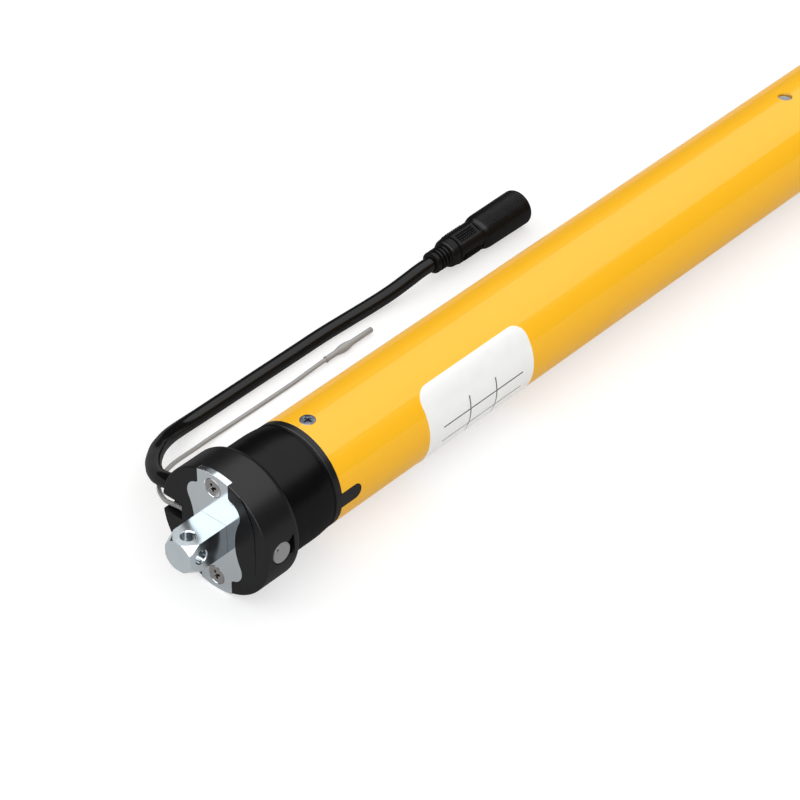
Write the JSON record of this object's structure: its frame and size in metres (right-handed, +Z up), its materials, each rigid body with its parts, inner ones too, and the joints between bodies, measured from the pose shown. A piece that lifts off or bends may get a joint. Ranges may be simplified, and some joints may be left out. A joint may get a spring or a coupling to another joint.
{
  "type": "tubular roller blind motor",
  "caption": "Slim tubular motor for a roller blind: a lacquered tube with a black head, idler ring, square mounting pin, button, low-voltage lead, aerial and geared drive shaft.",
  "frame": {"origin": "on the motor's axis at the end of the idler ring that faces the head's flange", "axes": "+X along the motor towards the drive shaft, +Z up, and the setting button faces -Y; the cable and the aerial leave the head on the +Y side"},
  "size_m": [0.4179, 0.0813, 0.0418],
  "materials": {
    "tube_lacquer": "gloss lacquer",
    "head_plastic": "satin moulded",
    "ring_plastic": "satin moulded",
    "plated_steel": "bright zinc plated",
    "dark_screw": "dark plated",
    "label_film": "semi gloss film",
    "gland_rubber": "matt",
    "cable_jacket": "satin",
    "connector_plastic": "satin moulded",
    "contact_metal": "plated",
    "aerial_jacket": "satin",
    "button_plastic": "satin",
    "white_plastic": "matt",
    "circuit_green": "solder mask",
    "component_black": "matt",
    "radio_blue": "solder mask",
    "lead_insulation": "satin",
    "motor_steel": "zinc plated",
    "ferrite": "matt",
    "bronze": "sintered",
    "carbon": "matt",
    "shaft_steel": "ground",
    "copper": "enamelled",
    "gear_steel": "machined",
    "cast_zinc": "die cast",
    "damper_rubber": "matt"
  },
  "bodies": {
    "motor": {"tube": "tube_lacquer", "head_housing": "head_plastic", "collar_insert": "ring_plastic", "mounting_plate": "plated_steel", "square_pin": "plated_steel", "plate_screws": "plated_steel", "tube_screws": "dark_screw", "rating_label": "label_film", "cable_gland": "gland_rubber", "power_cable": "cable_jacket", "connector_body": "connector_plastic", "connector_contacts": "contact_metal", "aerial_wire": "aerial_jacket", "aerial_sleeve": "aerial_jacket", "button_board": "circuit_green", "tact_switch": "component_black", "board_carrier": "white_plastic", "control_board": "circuit_green", "board_parts": "component_black", "radio_module": "radio_blue", "supply_leads": "lead_insulation", "motor_leads": "lead_insulation", "motor_can": "motor_steel", "motor_dampers": "damper_rubber", "motor_end_cap": "component_black", "stator_magnets": "ferrite", "motor_bushes": "bronze", "brushes": "carbon", "hall_board": "circuit_green", "brake_coil": "motor_steel", "input_flange": "cast_zinc", "gearbox_pins": "plated_steel", "ring_gear": "gear_steel", "thrust_washer": "bronze", "end_bearing": "cast_zinc", "output_bushes": "bronze"},
    "idler": {"idler_ring": "ring_plastic"},
    "button": {"setting_button": "button_plastic", "switch_plunger": "white_plastic"},
    "rotor": {"rotor_shaft": "shaft_steel", "rotor_core": "gear_steel", "rotor_windings": "copper", "commutator": "copper", "encoder_magnet": "ferrite", "brake_disc": "gear_steel", "sun_pinion": "gear_steel"},
    "output": {"output_shaft": "shaft_steel"},
    "stage_2": {"carrier_2": "gear_steel"},
    "stage_1": {"carrier_1": "gear_steel"},
    "planet_1a": {"planet_1a": "gear_steel"},
    "planet_1b": {"planet_1b": "gear_steel"},
    "planet_1c": {"planet_1c": "gear_steel"},
    "planet_2a": {"planet_2a": "gear_steel"},
    "planet_2b": {"planet_2b": "gear_steel"},
    "planet_2c": {"planet_2c": "gear_steel"},
    "planet_3a": {"planet_3a": "gear_steel"},
    "planet_3b": {"planet_3b": "gear_steel"},
    "planet_3c": {"planet_3c": "gear_steel"}
  },
  "joints": [
    {"name": "idler_spin", "type": "hinge", "parent": "motor", "child": "idler", "pos_m": [0.0088, 0, 0], "axis": [1, 0, 0], "continuous": true},
    {"name": "button_press", "type": "slide", "parent": "motor", "child": "button", "axis": [0, 1, 0], "range_m": [0, 0.0008], "stiffness_N_per_m": 900, "springref_m": -0.0008},
    {"name": "output_turn", "type": "hinge", "parent": "motor", "child": "output", "pos_m": [0.348, 0, 0], "axis": [1, 0, 0], "continuous": true},
    {"name": "stage_2_turn", "type": "hinge", "parent": "motor", "child": "stage_2", "pos_m": [0.292, 0, 0], "axis": [1, 0, 0], "continuous": true},
    {"name": "stage_1_turn", "type": "hinge", "parent": "motor", "child": "stage_1", "pos_m": [0.273, 0, 0], "axis": [1, 0, 0], "continuous": true},
    {"name": "rotor_turn", "type": "hinge", "parent": "motor", "child": "rotor", "pos_m": [0.208, 0, 0], "axis": [1, 0, 0], "continuous": true},
    {"name": "planet_1a_spin", "type": "hinge", "parent": "stage_1", "child": "planet_1a", "pos_m": [0.2653, 0.009, 0], "axis": [1, 0, 0], "continuous": true},
    {"name": "planet_1b_spin", "type": "hinge", "parent": "stage_1", "child": "planet_1b", "pos_m": [0.2653, -0.0045, 0.00779], "axis": [1, 0, 0], "continuous": true},
    {"name": "planet_1c_spin", "type": "hinge", "parent": "stage_1", "child": "planet_1c", "pos_m": [0.2653, -0.0045, -0.00779], "axis": [1, 0, 0], "continuous": true},
    {"name": "planet_2a_spin", "type": "hinge", "parent": "stage_2", "child": "planet_2a", "pos_m": [0.2819, 0.009, 0], "axis": [1, 0, 0], "continuous": true},
    {"name": "planet_2b_spin", "type": "hinge", "parent": "stage_2", "child": "planet_2b", "pos_m": [0.2819, -0.0045, 0.00779], "axis": [1, 0, 0], "continuous": true},
    {"name": "planet_2c_spin", "type": "hinge", "parent": "stage_2", "child": "planet_2c", "pos_m": [0.2819, -0.0045, -0.00779], "axis": [1, 0, 0], "continuous": true},
    {"name": "planet_3a_spin", "type": "hinge", "parent": "output", "child": "planet_3a", "pos_m": [0.3045, 0.009, 0], "axis": [1, 0, 0], "continuous": true},
    {"name": "planet_3b_spin", "type": "hinge", "parent": "output", "child": "planet_3b", "pos_m": [0.3045, -0.0045, 0.00779], "axis": [1, 0, 0], "continuous": true},
    {"name": "planet_3c_spin", "type": "hinge", "parent": "output", "child": "planet_3c", "pos_m": [0.3045, -0.0045, -0.00779], "axis": [1, 0, 0], "continuous": true}
  ],
  "couplings": [
    {"joint": "stage_2_turn", "follows": "output_turn", "ratio": 5},
    {"joint": "stage_1_turn", "follows": "output_turn", "ratio": 25},
    {"joint": "rotor_turn", "follows": "output_turn", "ratio": 125},
    {"joint": "planet_1a_spin", "follows": "output_turn", "ratio": -66.667},
    {"joint": "planet_1b_spin", "follows": "output_turn", "ratio": -66.667},
    {"joint": "planet_1c_spin", "follows": "output_turn", "ratio": -66.667},
    {"joint": "planet_2a_spin", "follows": "output_turn", "ratio": -13.333},
    {"joint": "planet_2b_spin", "follows": "output_turn", "ratio": -13.333},
    {"joint": "planet_2c_spin", "follows": "output_turn", "ratio": -13.333},
    {"joint": "planet_3a_spin", "follows": "output_turn", "ratio": -2.6667},
    {"joint": "planet_3b_spin", "follows": "output_turn", "ratio": -2.6667},
    {"joint": "planet_3c_spin", "follows": "output_turn", "ratio": -2.6667}
  ]
}
